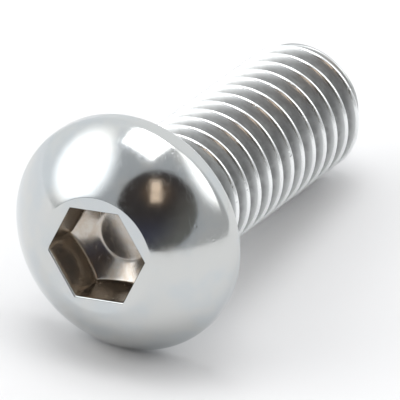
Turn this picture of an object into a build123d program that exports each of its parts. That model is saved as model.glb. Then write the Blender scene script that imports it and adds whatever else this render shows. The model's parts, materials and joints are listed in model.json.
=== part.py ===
from build123d import *

import os
from math import atan2, ceil, cos, degrees, hypot, radians, tan

# Button head socket screw, M6 x 16: one piece of steel, headed, punched and thread-rolled.
#
# It is modelled upright about its own axis, head up, with the bearing face at z = 0,
# and then laid on its side, where it rests on the rim of its head and on its last crest.
# It lies rolled a little about its axis, as a screw that has come to rest does.
# The finished part lies along X, head towards -X, with its origin at the middle of its base.

# driving dimensions, mm and degrees
thread_diameter = 6.0
pitch = 1.0
flank_angle = 60.0
shank_length = 16.0
neck_length = 0.8
crest_fade_length = 1.5
groove_fade_length = 1.3
tip_diameter = 4.5
head_diameter = 10.5
head_height = 3.3
rim_height = 0.8
rim_radius = 0.8
bearing_chamfer = 0.25
neck_flare = 0.4
hex_across_flats = 4.0
hex_depth = 2.1
hex_turn = 40.4
socket_land = 0.3
punch_face_diameter = 2.4
punch_bevel_angle = 30.0
roll = -2.6

# The thread's form. A crest is this share of the pitch wide. The others are depths under the
# crest, as shares of the sharp form's height: of the pitch line, of the place where the flank
# eases into the rolled root, and of the root.
crest_share = 1 / 8
pitch_line_share = 3 / 8
easing_share = 2 / 5
root_share = 3 / 4

flank_slope = tan(radians(flank_angle / 2))
sharp_height = pitch / 2 / flank_slope
crest_flat = pitch * crest_share
crest_radius = thread_diameter / 2
neck_radius = crest_radius - sharp_height * pitch_line_share
easing_radius = crest_radius - sharp_height * easing_share
root_radius = crest_radius - sharp_height * root_share
tip_radius = tip_diameter / 2
tip_chamfer = crest_radius - tip_radius
fade_start = -neck_length - crest_fade_length

# the head: a flat land round the socket, a domed crown whose centre is on the axis, and a rim
head_radius = head_diameter / 2
corner_angle = 30
hex_across_corners = hex_across_flats / cos(radians(corner_angle))
land_radius = hex_across_corners / 2 + socket_land
dome_centre = (land_radius**2 + head_height**2 - head_radius**2 - rim_height**2) / (
    2 * (head_height - rim_height)
)
dome_radius = hypot(land_radius, head_height - dome_centre)


def half_gap(radius):
    """Half the width between two flanks of the groove, at this distance from the axis."""
    return (pitch - crest_flat) / 2 - (crest_radius - radius) * flank_slope


# The groove winds past both ends of the thread, and its phase leaves the last whole crest
# at the chamfer, on the side that the screw lies on. It is cut a quarter of a crest too
# high, so that it opens through the crests but its own turns never meet.
groove_top = crest_radius + crest_flat / 4
last_crest = tip_chamfer - shank_length + crest_flat / 2
groove_start = last_crest - pitch * (1 + ceil(tip_chamfer / pitch))
turns = 1 + ceil((-neck_length - groove_start) / pitch)
fade_slope = (neck_radius - root_radius) / groove_fade_length
with BuildPart() as groove:
    helix = [
        Helix(pitch, pitch, root_radius, center=(0, 0, groove_start + pitch * turn), mode=Mode.PRIVATE)
        for turn in range(turns)
    ]
    with BuildSketch(Plane.XZ):
        with BuildLine():
            Polyline(
                (root_radius, groove_start),
                (easing_radius, groove_start - half_gap(easing_radius)),
                (groove_top, groove_start - half_gap(groove_top)),
                (groove_top, groove_start + half_gap(groove_top)),
                (easing_radius, groove_start + half_gap(easing_radius)),
                close=True,
            )
        make_face()
    sweep(path=helix, is_frenet=True)

    # it grows shallow under the head along a cone, and runs out just before the neck
    with BuildSketch(Plane.XZ):
        with BuildLine():
            Polyline(
                (0, fade_start - pitch),
                (root_radius - fade_slope * pitch, fade_start - pitch),
                (root_radius + fade_slope * crest_fade_length, -neck_length),
                (crest_radius + pitch, -neck_length),
                (crest_radius + pitch, pitch * turns),
                (0, pitch * turns),
                close=True,
            )
        make_face()
    revolve(axis=Axis.Z, mode=Mode.SUBTRACT)

# The punch that leaves the socket: a hexagon whose end is bevelled as a cone, down to a small
# flat face. The hexagon's flats are hex_depth long at their middles.
punch_face_radius = punch_face_diameter / 2
bevel_slope = tan(radians(punch_bevel_angle))
bevel_start = head_height - hex_depth - (hex_across_flats / 2 - punch_face_radius) * bevel_slope
with BuildPart() as punch:
    with BuildSketch(Plane.XY.offset(bevel_start)):
        RegularPolygon(hex_across_flats / 2, 6, major_radius=False, rotation=hex_turn)
    extrude(amount=head_height - bevel_start)
    with BuildSketch(Plane.XZ):
        with BuildLine():
            Polyline(
                (0, bevel_start),
                (punch_face_radius, bevel_start),
                (hex_across_flats, bevel_start + (hex_across_flats - punch_face_radius) * bevel_slope),
                (hex_across_flats, head_height),
                (0, head_height),
                close=True,
            )
        make_face()
    revolve(axis=Axis.Z, mode=Mode.INTERSECT)

with BuildPart() as upright_screw:
    # the whole blank, whose crests taper down to the neck, and then the thread's groove
    with BuildSketch(Plane.XZ) as section:
        rim_corner = (head_radius, rim_height)
        land_corner = (land_radius, head_height)
        with BuildLine():
            Polyline(
                (0, head_height),
                (0, -shank_length),
                (tip_radius, -shank_length),
                (crest_radius, tip_chamfer - shank_length),
                (crest_radius, fade_start),
                (neck_radius, -neck_length),
                (neck_radius, -neck_flare),
                (neck_radius + neck_flare, 0),
                (head_radius - bearing_chamfer, 0),
                (head_radius, bearing_chamfer),
                rim_corner,
            )
            RadiusArc(rim_corner, land_corner, -dome_radius)
            Line(land_corner, (0, head_height))
        make_face()
        fillet(section.vertices().sort_by_distance(rim_corner)[0], rim_radius)
    revolve(axis=Axis.Z)
    add(groove.part, mode=Mode.SUBTRACT)

    # the socket has the form of its punch: a hexagon whose end is bevelled as a cone down to a
    # small flat face
    add(punch.part, mode=Mode.SUBTRACT)

# the screw lies on the line that touches its bearing chamfer's edge and its last crest
tilt = degrees(atan2(head_radius - crest_radius, bearing_chamfer + shank_length - tip_chamfer))
laid = upright_screw.part.rotate(Axis.Z, roll).rotate(Axis.Y, tilt - 90)
around = laid.bounding_box()
with BuildPart() as button_head_screw:
    add(laid.moved(Location((-around.center().X, 0, -around.min.Z))))

button_head_screw.part.label = "button_head_screw"
os.makedirs("parts", exist_ok=True)
export_step(button_head_screw.part, "parts/button_head_screw.step")
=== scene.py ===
import json
import math

import bpy
import numpy as np
from mathutils import Matrix, Quaternion, Vector


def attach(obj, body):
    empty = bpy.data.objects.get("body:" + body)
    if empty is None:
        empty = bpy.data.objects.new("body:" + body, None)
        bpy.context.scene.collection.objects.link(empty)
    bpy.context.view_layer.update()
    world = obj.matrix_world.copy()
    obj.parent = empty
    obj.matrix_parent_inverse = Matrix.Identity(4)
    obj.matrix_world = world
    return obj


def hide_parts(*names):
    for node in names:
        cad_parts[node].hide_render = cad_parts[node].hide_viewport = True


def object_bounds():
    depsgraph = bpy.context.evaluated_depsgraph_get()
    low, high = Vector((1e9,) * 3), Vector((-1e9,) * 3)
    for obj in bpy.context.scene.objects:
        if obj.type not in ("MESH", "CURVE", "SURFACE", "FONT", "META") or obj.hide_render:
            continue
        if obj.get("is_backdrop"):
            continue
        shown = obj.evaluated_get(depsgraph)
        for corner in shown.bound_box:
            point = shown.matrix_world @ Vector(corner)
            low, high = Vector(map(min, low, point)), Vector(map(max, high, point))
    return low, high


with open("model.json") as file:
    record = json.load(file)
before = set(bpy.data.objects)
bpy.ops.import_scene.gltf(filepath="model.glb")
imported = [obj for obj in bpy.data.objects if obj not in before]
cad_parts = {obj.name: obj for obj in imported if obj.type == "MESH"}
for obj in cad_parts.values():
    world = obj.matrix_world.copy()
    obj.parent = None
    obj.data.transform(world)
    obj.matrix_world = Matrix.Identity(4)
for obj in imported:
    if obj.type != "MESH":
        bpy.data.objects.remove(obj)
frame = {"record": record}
cad_low, cad_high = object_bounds()

# ---------------------------------------------------------------------------------------------
# The screw. One piece of medium-carbon steel wire: the head is upset and its hexagon socket
# punched in a cold header, the thread is then rolled into the shank between flat dies, and the
# whole screw is barrel plated with bright zinc under a thin blue-clear passivation.

# sizes in mm and degrees, about the screw's own axis: z = 0 is the bearing face, +z the head
POINTS_AROUND = 144
PITCH = 1.0
CREST_RADIUS = 3.0
CREST_FLAT = 0.125
CREST_EASING = 0.22
HALF_FLANK_ANGLE = 30.0
ROOT_ROUNDING = 0.144
NECK_RADIUS = 2.675
NECK_LENGTH = 0.8
NECK_FILLET = 0.4
CREST_FADE = 1.5
CREST_FADE_EASING = 0.04
GROOVE_FADE = 1.3
GROOVE_FADE_EASING = 0.06
SHANK_LENGTH = 16.0
TIP_RADIUS = 2.25
TIP_EDGE = 0.08
TIP_CHAMFER_ANGLE = 45.0
THREAD_END = -15.93
HEAD_RADIUS = 5.245
HEAD_HEIGHT = 3.3
RIM_ROUNDING = 0.8
RIM_CORNER = 0.8
SEAT_ROUNDING = 0.27
LAND_RADIUS = 2.6094
LAND_EDGE = 0.12
SOCKET_HALF = 2.0
SOCKET_FLOOR = 1.2
SOCKET_MOUTH = 0.07
SOCKET_FOOT = 0.06
PUNCH_FACE = 1.2
PUNCH_BEVEL = 30.0
PUNCH_EASING = 0.05
HEX_CORNER = 37.8
ROLL = -2.6
# crests cross the line at angle ROLL at this height, and at every whole pitch from it
CREST_AT = -16.6875
THREAD_TURNS = 18
ROWS_PER_PITCH = 24
ROW_CROWDING = 0.6
MEETING_GAP = 0.002


class Wire:
    """A node socket in a Python expression: each operator adds the Math node that works it out."""

    def __init__(self, tree, socket=None):
        self.tree = tree
        self.socket = socket

    def node(self, kind, settings, inputs, output=0):
        """Adds any other node: its type, its settings, then its sockets' values or links."""
        made = self.tree.nodes.new(kind)
        for name, value in settings.items():
            setattr(made, name, value)
        for key, value in inputs.items():
            if isinstance(value, Wire):
                self.tree.links.new(value.socket, made.inputs[key])
            else:
                made.inputs[key].default_value = value
        return Wire(self.tree, made.outputs[output])

    def math(self, operation, first, second=0.0, third=0.0):
        return self.node("ShaderNodeMath", {"operation": operation}, {0: first, 1: second, 2: third})

    def __add__(self, other):
        return self.math("ADD", self, other)

    def __radd__(self, other):
        return self.math("ADD", other, self)

    def __sub__(self, other):
        return self.math("SUBTRACT", self, other)

    def __rsub__(self, other):
        return self.math("SUBTRACT", other, self)

    def __mul__(self, other):
        return self.math("MULTIPLY", self, other)

    def __rmul__(self, other):
        return self.math("MULTIPLY", other, self)

    def __truediv__(self, other):
        return self.math("DIVIDE", self, other)

    def __pow__(self, other):
        return self.math("POWER", self, other)

    def __mod__(self, other):
        return self.math("FLOORED_MODULO", self, other)

    def __lt__(self, other):
        return self.math("LESS_THAN", self, other)

    def __gt__(self, other):
        return self.math("GREATER_THAN", self, other)

    def __neg__(self):
        return self.math("MULTIPLY", self, -1.0)

    def __abs__(self):
        return self.math("ABSOLUTE", self)

    def __round__(self):
        return self.math("ROUND", self)


# the head, neck and tip are rings of points round the axis, joined ring to ring
turn = math.radians(HEX_CORNER) + np.arange(POINTS_AROUND) * 2 * math.pi / POINTS_AROUND
from_corner = np.degrees(turn) - HEX_CORNER
# the angle from the middle of the nearest flat of the hexagon, half of 60 degrees at a corner
from_flat = np.radians((from_corner % 60) - 30)


def circle(radius, height):
    return np.column_stack([radius * np.cos(turn), radius * np.sin(turn), np.full(POINTS_AROUND, height)])


def hexagon(half, height):
    """A ring of points on a hexagon, this far from its middle to each flat."""
    radius = half / np.cos(from_flat)
    return np.column_stack([radius * np.cos(turn), radius * np.sin(turn), np.full(POINTS_AROUND, height)])


def arc(centre, radius, start, end, steps):
    """Circles on a rounding whose section turns from one angle to another, both ends included."""
    angles = np.radians(np.linspace(start, end, steps))
    return [circle(centre[0] + radius * math.cos(a), centre[1] + radius * math.sin(a)) for a in angles]


dome_rise = HEAD_HEIGHT - RIM_CORNER
dome_centre = (LAND_RADIUS**2 + HEAD_HEIGHT**2 - HEAD_RADIUS**2 - RIM_CORNER**2) / (2 * dome_rise)
dome_radius = math.hypot(LAND_RADIUS, HEAD_HEIGHT - dome_centre)
rim_at = HEAD_RADIUS - RIM_ROUNDING
rim_up = dome_centre + math.sqrt((dome_radius - RIM_ROUNDING) ** 2 - rim_at**2)
rim_angle = math.degrees(math.atan2(rim_up - dome_centre, rim_at))
# the rounding between the land and the dome is tangent to both
edge_up = HEAD_HEIGHT - LAND_EDGE
edge_at = math.sqrt((dome_radius - LAND_EDGE) ** 2 - (edge_up - dome_centre) ** 2)
edge_angle = math.degrees(math.atan2(edge_up - dome_centre, edge_at))

bevel_slope = math.tan(math.radians(PUNCH_BEVEL))


def pressed(ring):
    """Lays a ring of points on the socket's bottom: a flat face, and a cone out to the walls."""
    past_face = (np.hypot(ring[:, 0], ring[:, 1]) - PUNCH_FACE) * bevel_slope
    lowest = SOCKET_FLOOR - (SOCKET_HALF - PUNCH_FACE) * bevel_slope
    heights = lowest + (past_face + np.hypot(past_face, PUNCH_EASING)) / 2
    return np.column_stack([ring[:, :2], heights])


# the socket, from its middle outward: the face and its eased edge, the bevel, the foot, the walls
face_ring, foot_ring = circle(PUNCH_FACE * 1.12, 0), hexagon(SOCKET_HALF - SOCKET_FOOT, 0)
rings = [pressed(circle(PUNCH_FACE * s, 0)) for s in (0.1, 0.4, 0.7, 0.85, 0.92, 0.96, 1.0, 1.04, 1.08)]
rings += [pressed(face_ring + (foot_ring - face_ring) * s) for s in (0.0, 0.25, 0.5, 0.75, 0.9, 1.0)]
wall_top = HEAD_HEIGHT - SOCKET_MOUTH
for inward, above in ((0.55, 0.14), (0.2, 0.45), (0.0, 1.0)):
    ring = pressed(hexagon(SOCKET_HALF - SOCKET_FOOT * inward, 0))
    rings += [ring + [0, 0, SOCKET_FOOT * above]]
wall_foot = rings[-1]
rings += [wall_foot + (hexagon(SOCKET_HALF, wall_top) - wall_foot) * s for s in np.linspace(0, 1, 9)[1:-1]]
for angle in np.radians(np.linspace(180, 90, 5)):
    out = SOCKET_MOUTH * math.cos(angle)
    rings += [hexagon(SOCKET_HALF + SOCKET_MOUTH + out, wall_top + SOCKET_MOUTH * math.sin(angle))]
# the land, the dome and the rim
inner, outer = rings[-1], circle(edge_at, HEAD_HEIGHT)
rings += [inner + (outer - inner) * s for s in (0.3, 0.65, 0.9)]
rings += arc((edge_at, edge_up), LAND_EDGE, 90, edge_angle, 4)
rings += arc((0, dome_centre), dome_radius, edge_angle, rim_angle, 28)[1:]
rings += arc((rim_at, rim_up), RIM_ROUNDING, rim_angle, 0, 13)[1:]
# the bearing face, the neck, and past the thread the tip
seat_at = HEAD_RADIUS - SEAT_ROUNDING
rings += [circle(HEAD_RADIUS, (rim_up + SEAT_ROUNDING) / 2)]
rings += arc((seat_at, SEAT_ROUNDING), SEAT_ROUNDING, 0, -90, 8)
rings += [circle(r, 0.0) for r in np.linspace(seat_at, NECK_RADIUS + NECK_FILLET, 6)[1:-1]]
rings += arc((NECK_RADIUS + NECK_FILLET, -NECK_FILLET), NECK_FILLET, 90, 180, 7)
rings += [circle(NECK_RADIUS, -NECK_LENGTH)]
head_rings = len(rings)
tip_at = TIP_RADIUS - TIP_EDGE * math.tan(math.radians(TIP_CHAMFER_ANGLE / 2))
rings += [circle(TIP_RADIUS + THREAD_END + SHANK_LENGTH, THREAD_END)]
rings += arc((tip_at, TIP_EDGE - SHANK_LENGTH), TIP_EDGE, -TIP_CHAMFER_ANGLE, -90, 4)
rings += [circle(r, -SHANK_LENGTH) for r in (1.8, 1.2, 0.6, 0.15)]

# the last two points close the socket's face and the tip's; the thread's own strip fills the gap
# between the neck's last ring and the tip's first
points = np.concatenate(rings + [[[0, 0, rings[0][0, 2]], [0, 0, -SHANK_LENGTH]]])
faces = []
for ring in range(len(rings) - 1):
    if ring == head_rings - 1:
        continue
    for i in range(POINTS_AROUND):
        j = (i + 1) % POINTS_AROUND
        here, there = ring * POINTS_AROUND, (ring + 1) * POINTS_AROUND
        faces.append((here + i, there + i, there + j, here + j))
last = (len(rings) - 1) * POINTS_AROUND
for i in range(POINTS_AROUND):
    j = (i + 1) % POINTS_AROUND
    faces.append((len(points) - 2, i, j))
    faces.append((len(points) - 1, last + j, last + i))
blank_mesh = bpy.data.meshes.new("blank")
blank_mesh.from_pydata(points.tolist(), [], faces)
blank = bpy.data.objects.new("blank", blank_mesh)
bpy.context.scene.collection.objects.link(blank)

# the finish: bright zinc with the marks of the dies under it, and of the barrel on it. It is
# clouded on the head and duller where it was rolled; painted shade darkens the grooves, a painted
# highlight brightens the crests, and painted shade with a brown stain darkens the socket.
BLUE_ZINC = (0.55, 0.58, 0.595, 1)
GREY_ZINC = (0.595, 0.605, 0.595, 1)
ROLLED_ZINC = (0.64, 0.655, 0.655, 1)
GROOVE_PAINTED_SHADE = (0.31, 0.315, 0.315, 1)
CREST_PAINTED_HIGHLIGHT = (0.90, 0.915, 0.915, 1)
SOCKET_STAIN_AND_PAINTED_SHADE = (0.50, 0.44, 0.375, 1)
zinc = bpy.data.materials.new("zinc_plate")
zinc.use_nodes = True
zinc.node_tree.nodes.clear()
start = Wire(zinc.node_tree)
own = {"attribute_type": "GEOMETRY", "attribute_name": "own_mm"}
own = start.node("ShaderNodeAttribute", own, {}, "Vector")
own_x = start.node("ShaderNodeSeparateXYZ", {}, {0: own}, "X")
own_y = start.node("ShaderNodeSeparateXYZ", {}, {0: own}, "Y")
own_z = start.node("ShaderNodeSeparateXYZ", {}, {0: own}, "Z")
from_axis = (own_x * own_x + own_y * own_y) ** 0.5


def noise(vector, scale, detail=2.0, roughness=0.5):
    sockets = {"Vector": vector, "Scale": scale, "Detail": detail, "Roughness": roughness}
    return start.node("ShaderNodeTexNoise", {}, sockets, 0)


def ramp(value, low, high):
    """0 where the value is at low, 1 where it is at high, and smooth between."""
    sockets = {"Value": value, "From Min": low, "From Max": high}
    return start.node("ShaderNodeMapRange", {"interpolation_type": "SMOOTHSTEP"}, sockets)


def mix(factor, first, second):
    sockets = {0: factor, 6: first, 7: second}
    return start.node("ShaderNodeMix", {"data_type": "RGBA"}, sockets, 2)


def drawn(turned, stretch):
    """The screw's own millimetres, turned and then stretched, for marks that run one way."""
    sockets = {"Vector": own, "Rotation": turned, "Scale": stretch}
    return start.node("ShaderNodeMapping", {}, sockets)


def hairlines(turned, width):
    """Fine scratches of this width that run one way, and break off here and there."""
    field = noise(drawn(turned, (0.25, 1.7, 1.7)), 1.0, 2.0)
    line = ramp(abs(field - 0.5), width, 0.0)
    return line * ramp(noise(drawn(turned, (0.5, 0.7, 0.7)), 1.0, 1.0), 0.48, 0.62)


def dents(scale, size, share):
    """Round dents in this share of the places: 1 in their middles."""
    near = start.node("ShaderNodeTexVoronoi", {}, {"Vector": own, "Scale": scale}, "Distance")
    cell = Wire(start.tree, near.socket.node.outputs["Color"])
    drawn_lot = start.node("ShaderNodeSeparateColor", {}, {0: cell}, 0)
    return ramp(near, size, 0.0) * (drawn_lot < share)


# where each finish lies, by the distance from the axis and the height on it, in mm
on_shank = own_z < -0.85
root = ramp(from_axis, 2.93, 2.66) * ramp(own_z, -1.2, -2.3) * ramp(own_z, -15.6, -15.2)
crest = ramp(from_axis, 2.86, 2.94) * on_shank
in_socket = ramp(own_z, 3.27, 3.18) * (from_axis < 2.5) * (own_z > 0.5)
on_wall = in_socket * ramp(from_axis, 1.97, 2.0)
tip_face = ramp(own_z, -15.95, -15.99)
cloud = noise(own, 0.55, 3.0)
haze = noise(own, 2.3, 3.0, 0.6)
fine = noise(own, 16.0, 1.0)

plate = mix(ramp(cloud, 0.38, 0.62), BLUE_ZINC, GREY_ZINC)
plate = mix(on_shank * 0.8, plate, ROLLED_ZINC)
# painted shade: the plate is darkened down in the thread's grooves, patchy with the haze
plate = mix(root * (0.7 + 0.3 * ramp(haze, 0.3, 0.65)), plate, GROOVE_PAINTED_SHADE)
# painted highlight: the crests are made much lighter than the rest of the plate
plate = mix(crest, plate, CREST_PAINTED_HIGHLIGHT)
# painted shade in the socket's recess, with a brown stain: the plate inside it is darker and browner
plate = mix(in_socket * (0.55 + 0.45 * ramp(haze, 0.3, 0.7)), plate, SOCKET_STAIN_AND_PAINTED_SHADE)

# lines along the thread where the dies rolled it, down the socket where the punch slid
along_thread = start.node("ShaderNodeCombineXYZ", {}, {"X": from_axis * 13.0, "Y": own_z * 1.6})
rolled_lines = noise(along_thread, 1.0, 2.0) * on_shank
down_socket = drawn((0, 0, 0), (9.0, 9.0, 0.7))
punched_lines = noise(down_socket, 1.0, 2.0) * on_wall
sheared_lines = noise(drawn((0, 0, 0.5), (1.2, 9.0, 1.0)), 1.0, 2.0) * tip_face
scratches = hairlines((0.3, 0.2, 0.4), 0.012) + hairlines((1.2, 0.5, 1.7), 0.010)
scratches = scratches + hairlines((2.1, 1.4, 2.6), 0.009)
pits = dents(1.6, 0.17, 0.35) + dents(3.1, 0.2, 0.2)
nicks = crest * ramp(noise(own, 2.6, 2.0), 0.6, 0.72)
# the relief of all this, in mm
height = 0.0030 * cloud + 0.0011 * haze + 0.00013 * fine
height = height - 0.0005 * scratches * (1.0 - 0.8 * on_shank) - 0.0022 * pits - 0.006 * nicks
height = height + 0.0010 * rolled_lines + 0.0022 * punched_lines + 0.004 * sheared_lines
bump = start.node("ShaderNodeBump", {}, {"Strength": 1.0, "Distance": 0.001, "Height": height})
# the head is nearly a mirror, and each other finish is duller or brighter by so much
HEAD_ROUGHNESS = 0.115
rough = HEAD_ROUGHNESS + 0.05 * ramp(haze, 0.42, 0.7)
rough = rough + 0.23 * on_shank + 0.06 * root - 0.15 * crest
rough = rough + 0.07 * in_socket + 0.14 * tip_face + 0.05 * scratches
surface = start.node(
    "ShaderNodeBsdfPrincipled",
    {},
    {"Base Color": plate, "Metallic": 1.0, "Roughness": rough, "Normal": bump},
)
output = zinc.node_tree.nodes.new("ShaderNodeOutputMaterial")
zinc.node_tree.links.new(surface.socket, output.inputs["Surface"])

# the rolled thread is a strip, one pitch wide, wound round the shank and met by its own next turn
rolled = bpy.data.node_groups.new("rolled_thread", "GeometryNodeTree")
rolled.interface.new_socket(name="Geometry", in_out="OUTPUT", socket_type="NodeSocketGeometry")
rolled.interface.new_socket(name="Geometry", in_out="INPUT", socket_type="NodeSocketGeometry")
sizes = {
    "Pitch": PITCH,
    "Crest radius": CREST_RADIUS,
    "Crest flat": CREST_FLAT,
    "Root rounding": ROOT_ROUNDING,
    "Neck radius": NECK_RADIUS,
    "Neck length": NECK_LENGTH,
    "Crest fade": CREST_FADE,
    "Groove fade": GROOVE_FADE,
    "Shank length": SHANK_LENGTH,
    "Tip radius": TIP_RADIUS,
    "Thread end": THREAD_END,
    "Crest at": CREST_AT,
    "Roll": math.radians(ROLL),
    "First angle": math.radians(HEX_CORNER),
}
keys = {}
for name in sizes:
    made = rolled.interface.new_socket(name=name, in_out="INPUT", socket_type="NodeSocketFloat")
    keys[name] = made.identifier
given = rolled.nodes.new("NodeGroupInput")
result = rolled.nodes.new("NodeGroupOutput")
size = {name: Wire(rolled, given.outputs[name]) for name in sizes}
begin = Wire(rolled)
steps = POINTS_AROUND * THREAD_TURNS
strip = {"Size X": 1.0, "Size Y": 1.0, "Vertices X": steps + 1, "Vertices Y": ROWS_PER_PITCH + 1}
grid = begin.node("GeometryNodeMeshGrid", {}, strip)
place = begin.node("GeometryNodeInputPosition", {}, {})
step = round((begin.node("ShaderNodeSeparateXYZ", {}, {0: place}, "X") + 0.5) * steps)
row = round((begin.node("ShaderNodeSeparateXYZ", {}, {0: place}, "Y") + 0.5) * ROWS_PER_PITCH)
row = row / ROWS_PER_PITCH
# rows lie closer together at the crest and the root, where the section is round
across = row - (ROW_CROWDING / (4 * math.pi)) * begin.math("SINE", row * (4 * math.pi))
angle = size["First angle"] + (step % POINTS_AROUND) * (2 * math.pi / POINTS_AROUND)
wound = (size["First angle"] - size["Roll"]) / (2 * math.pi) + step / POINTS_AROUND - 1.0
along = size["Crest at"] + size["Pitch"] * (wound + across)
along = begin.math("MAXIMUM", begin.math("MINIMUM", along, -size["Neck length"]), size["Thread end"])
from_crest = size["Pitch"] * (0.5 - abs(across - 0.5))
from_root = size["Pitch"] * 0.5 - from_crest
steep = 1 / math.tan(math.radians(HALF_FLANK_ANGLE))
flank = size["Crest radius"] - (from_crest - size["Crest flat"] * 0.5) * steep
vee = size["Crest radius"] - (size["Pitch"] * 0.5 - size["Crest flat"] * 0.5) * steep
under = size["Root rounding"] * size["Root rounding"] - from_root * from_root
hollow = vee + 2.0 * size["Root rounding"] - begin.math("MAXIMUM", under, 0.0) ** 0.5
rounded = from_root < size["Root rounding"] * math.cos(math.radians(HALF_FLANK_ANGLE))
groove = flank + (hollow - flank) * rounded
section = begin.math("SMOOTH_MIN", groove, size["Crest radius"], CREST_EASING)
root_radius = vee + size["Root rounding"]
fade_start = -size["Neck length"] - size["Crest fade"]
shallow = root_radius + (along - fade_start) * ((size["Neck radius"] - root_radius) / size["Groove fade"])
section = begin.math("SMOOTH_MAX", section, shallow, GROOVE_FADE_EASING)
taper_slope = (size["Crest radius"] - size["Neck radius"]) / size["Crest fade"]
taper = size["Neck radius"] - (along + size["Neck length"]) * taper_slope
chamfer = size["Tip radius"] + along + size["Shank length"]
radius = begin.math("MINIMUM", taper, chamfer)
radius = begin.math("SMOOTH_MIN", radius, section, CREST_FADE_EASING)
# at both ends of the strip the radius is exactly the neck's and the chamfer's
at_neck = along > -size["Neck length"] - MEETING_GAP / 4
at_tip = along < size["Thread end"] + MEETING_GAP / 4
radius = radius + (size["Neck radius"] - radius) * at_neck + (chamfer - radius) * at_tip
parts = {"X": radius * begin.math("COSINE", angle), "Y": radius * begin.math("SINE", angle), "Z": along}
position = begin.node("ShaderNodeCombineXYZ", {}, parts)
thread = begin.node("GeometryNodeSetPosition", {}, {"Geometry": grid, "Position": position})
joined = rolled.nodes.new("GeometryNodeJoinGeometry")
rolled.links.new(given.outputs["Geometry"], joined.inputs[0])
rolled.links.new(thread.socket, joined.inputs[0])
both = Wire(rolled, joined.outputs[0])
whole = begin.node("GeometryNodeMergeByDistance", {}, {0: both, "Distance": MEETING_GAP})
whole = begin.node("GeometryNodeSetShadeSmooth", {}, {0: whole})
kept = {"Geometry": whole, "Name": "own_mm", "Value": begin.node("GeometryNodeInputPosition", {}, {})}
whole = begin.node("GeometryNodeStoreNamedAttribute", {"data_type": "FLOAT_VECTOR", "domain": "POINT"}, kept)
whole = begin.node("GeometryNodeRealizeInstances", {}, {0: whole})
whole = begin.node("GeometryNodeSetMaterial", {}, {"Geometry": whole, "Material": zinc})
rolled.links.new(whole.socket, result.inputs["Geometry"])
winding = blank.modifiers.new("rolled_thread", "NODES")
winding.node_group = rolled
for name, value in sizes.items():
    winding[keys[name]] = value

# the screw is made upright about its axis, and then laid down where the frame's bearing face is
seat = frame["record"]["mounts"][0]
to_tip = Vector(seat["axis"])
upward = Vector((-to_tip.z, 0, to_tip.x))
laid = Matrix((upward, Vector((0, 1, 0)), -to_tip)).transposed().to_4x4()
METRES_PER_MM = 0.001
laid = Matrix.Translation(seat["pos_m"]) @ laid @ Matrix.Scale(METRES_PER_MM, 4)
depsgraph = bpy.context.evaluated_depsgraph_get()
screw_mesh = bpy.data.meshes.new_from_object(blank.evaluated_get(depsgraph))
screw_mesh.transform(laid)
screw_mesh.name = "button_head_screw_body"
bpy.data.objects.remove(blank)
screw = bpy.data.objects.new("screw", screw_mesh)
bpy.context.scene.collection.objects.link(screw)
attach(screw, "root")
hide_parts("button_head_screw")

# ---------------------------------------------------------------------------------------------
# The studio. A white shooting tent: a sheet of pale board for the floor, cloth walls with a soft
# light behind each side, round on the left and a slanted oval on the right, a square light
# overhead, and a round dark opening in the tent's front, behind the camera.

# sizes here are in metres
view_yaw = math.radians(61.455)
view_down = math.radians(32.64)
ahead = Vector((math.sin(view_yaw), math.cos(view_yaw), 0))
right = Vector((math.cos(view_yaw), -math.sin(view_yaw), 0))
up = Vector((0, 0, 1))
looking = ahead * math.cos(view_down) - up * math.sin(view_down)
middle = Vector((-0.0011, -0.0004, 0.0038))
CLOTH_DISTANCE = 1.05
CLOTH_RADIUS = 0.70
CLOTH_MIDDLE = 0.20
CLOTH_LIGHT = 2.9
WALL_LIGHT = 0.54
BACK_LIGHT = 0.5
BOARD_GREY = (0.81, 0.81, 0.815)


def shade(name, colour):
    """A plain matt material."""
    made = bpy.data.materials.new(name)
    made.use_nodes = True
    sockets = made.node_tree.nodes["Principled BSDF"].inputs
    sockets["Base Color"].default_value = (*colour, 1)
    sockets["Roughness"].default_value = 0.9
    sockets["Specular IOR Level"].default_value = 0.1
    return made


def card(name, direction, distance, radius, material, turned=0.0, narrowed=1.0):
    """A card, this far off in a direction given as (right, ahead, up), facing the screw.

    It is round, or an oval whose long axis is turned by so many degrees from level."""
    toward = (right * direction[0] + ahead * direction[1] + up * direction[2]).normalized()
    bpy.ops.mesh.primitive_circle_add(vertices=96, radius=radius, fill_type="NGON")
    made = bpy.context.object
    made.name = name
    made.data.materials.append(material)
    made.location = middle + toward * distance
    facing = (-toward).to_track_quat("Z", "Y") @ Quaternion((0, 0, 1), math.radians(turned))
    made.rotation_euler = facing.to_euler()
    made.scale = (1, narrowed, 1)
    made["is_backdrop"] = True
    return made


bpy.ops.mesh.primitive_plane_add(size=3.0, location=(0, 0, 0))
floor = bpy.context.object
floor.name = "floor"
floor.data.materials.append(shade("board", BOARD_GREY))
floor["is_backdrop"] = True

# each side light is brightest in the middle of its patch of cloth and fades into the wall's own
patch = bpy.data.materials.new("lit_cloth")
patch.use_nodes = True
patch.node_tree.nodes.clear()
cloth = Wire(patch.node_tree)
spot = cloth.node("ShaderNodeTexCoord", {}, {}, "Object")
off = cloth.node("ShaderNodeVectorMath", {"operation": "LENGTH"}, {0: spot}, "Value")
fall = {"Value": off, "From Min": CLOTH_RADIUS, "From Max": CLOTH_MIDDLE}
lit = cloth.node("ShaderNodeMapRange", {"interpolation_type": "SMOOTHSTEP"}, fall)
glow = cloth.node("ShaderNodeEmission", {}, {"Color": (1, 1, 1, 1), "Strength": CLOTH_LIGHT})
clear = cloth.node("ShaderNodeBsdfTransparent", {}, {})
seen_cloth = cloth.node("ShaderNodeMixShader", {}, {0: lit, 1: clear, 2: glow})
cloth_out = patch.node_tree.nodes.new("ShaderNodeOutputMaterial")
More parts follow.
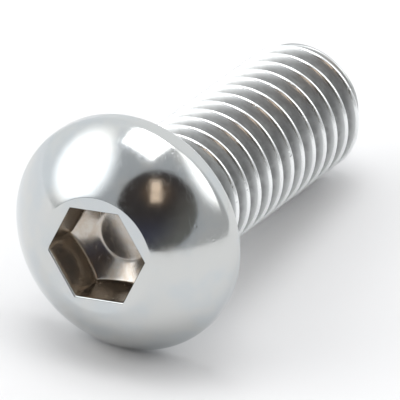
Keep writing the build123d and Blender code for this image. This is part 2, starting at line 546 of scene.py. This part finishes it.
patch.node_tree.links.new(seen_cloth.socket, cloth_out.inputs["Surface"])
card("left_cloth", (-0.83, 0.06, 0.56), CLOTH_DISTANCE, CLOTH_RADIUS, patch)
card("right_cloth", (0.64, -0.22, 0.74), CLOTH_DISTANCE, CLOTH_RADIUS, patch, turned=-67.0, narrowed=0.52)

# what shows through the opening is a dim room: brown, bluer low down, lighter on the right, and
# warm round the lamp. Its card's own x runs to the left as the screw sees it, and y runs up.
room = bpy.data.materials.new("dim_room")
room.use_nodes = True
room.node_tree.nodes.clear()
dim = Wire(room.node_tree)
where = dim.node("ShaderNodeTexCoord", {}, {}, "Object")
to_left = dim.node("ShaderNodeSeparateXYZ", {}, {0: where}, "X")
upward_in_room = dim.node("ShaderNodeSeparateXYZ", {}, {0: where}, "Y")
LAMP_ABOVE = 0.29


def fade(value, low, high):
    sockets = {"Value": value, "From Min": low, "From Max": high}
    return dim.node("ShaderNodeMapRange", {"interpolation_type": "SMOOTHSTEP"}, sockets)


def tint(factor, first, second):
    return dim.node("ShaderNodeMix", {"data_type": "RGBA"}, {0: factor, 6: first, 7: second}, 2)


from_lamp = (to_left * to_left + (upward_in_room - LAMP_ABOVE) ** 2) ** 0.5
seen = tint(fade(upward_in_room, 0.0, -0.4), (0.052, 0.045, 0.043, 1), (0.055, 0.055, 0.080, 1))
seen = tint(fade(-0.8 * to_left - 0.6 * upward_in_room, 0.05, 0.55), seen, (0.16, 0.155, 0.14, 1))
seen = tint(fade(from_lamp, 0.32, 0.05), seen, (0.13, 0.09, 0.062, 1))
shown = dim.node("ShaderNodeEmission", {}, {"Color": seen, "Strength": 1.0})
room_out = room.node_tree.nodes.new("ShaderNodeOutputMaterial")
room.node_tree.links.new(shown.socket, room_out.inputs["Surface"])
OPENING_DISTANCE = 1.00
OPENING_RADIUS = 0.655
toward_camera = tuple((-looking).dot(axis) for axis in (right, ahead, up))
card("opening", toward_camera, OPENING_DISTANCE, OPENING_RADIUS, room)
# a lamp seen through the opening, as a narrow upright strip above the lens
slit_data = bpy.data.lights.new("slit_light", "AREA")
slit_data.shape = "RECTANGLE"
slit_data.size = 0.15
slit_data.size_y = 0.34
slit_data.energy = 0.16
slit_data.color = (1.0, 0.80, 0.62)
slit = bpy.data.objects.new("slit_light", slit_data)
above = right.cross(looking)
slit.location = middle - looking * 0.98 + above * LAMP_ABOVE - right * 0.01
slit.rotation_euler = looking.to_track_quat("-Z", "Y").to_euler()
bpy.context.scene.collection.objects.link(slit)

top_data = bpy.data.lights.new("top_light", "AREA")
top_data.shape = "SQUARE"
top_data.size = 0.56
top_data.energy = 3.4
top = bpy.data.objects.new("top_light", top_data)
top.location = middle + right * -0.065 + ahead * 0.11 + up * 1.0
top.rotation_euler = (0, 0, math.radians(45) - view_yaw)
bpy.context.scene.collection.objects.link(top)

world = bpy.data.worlds.new("tent")
world.use_nodes = True
wall = world.node_tree.nodes["Background"]
wall.inputs["Color"].default_value = (0.97, 0.985, 1.0, 1)
# the tent's back wall, which the lamps shine on, is about twice as bright as its front
tent = Wire(world.node_tree)
outward = tent.node("ShaderNodeTexCoord", {}, {}, "Generated")
backward = tent.node("ShaderNodeVectorMath", {"operation": "DOT_PRODUCT"}, {0: outward, 1: ahead}, "Value")
lift = {"Value": backward, "From Min": -0.05, "From Max": 0.40}
lift = tent.node("ShaderNodeMapRange", {"interpolation_type": "SMOOTHSTEP"}, lift)
wall_light = WALL_LIGHT + BACK_LIGHT * lift
world.node_tree.links.new(wall_light.socket, wall.inputs["Strength"])
bpy.context.scene.world = world

camera_data = bpy.data.cameras.new("camera")
camera_data.sensor_width = 36.0
camera_data.lens = 1053.0
camera_data.clip_start = 0.05
camera_data.clip_end = 10.0
camera = bpy.data.objects.new("camera", camera_data)
camera.location = middle - looking * 0.5
camera.rotation_euler = looking.to_track_quat("-Z", "Y").to_euler()
bpy.context.scene.collection.objects.link(camera)
bpy.context.scene.camera = camera
bpy.context.scene.view_settings.view_transform = "Standard"

low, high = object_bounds()
{"cad": [list(cad_low), list(cad_high)], "visual": [list(low), list(high)]}
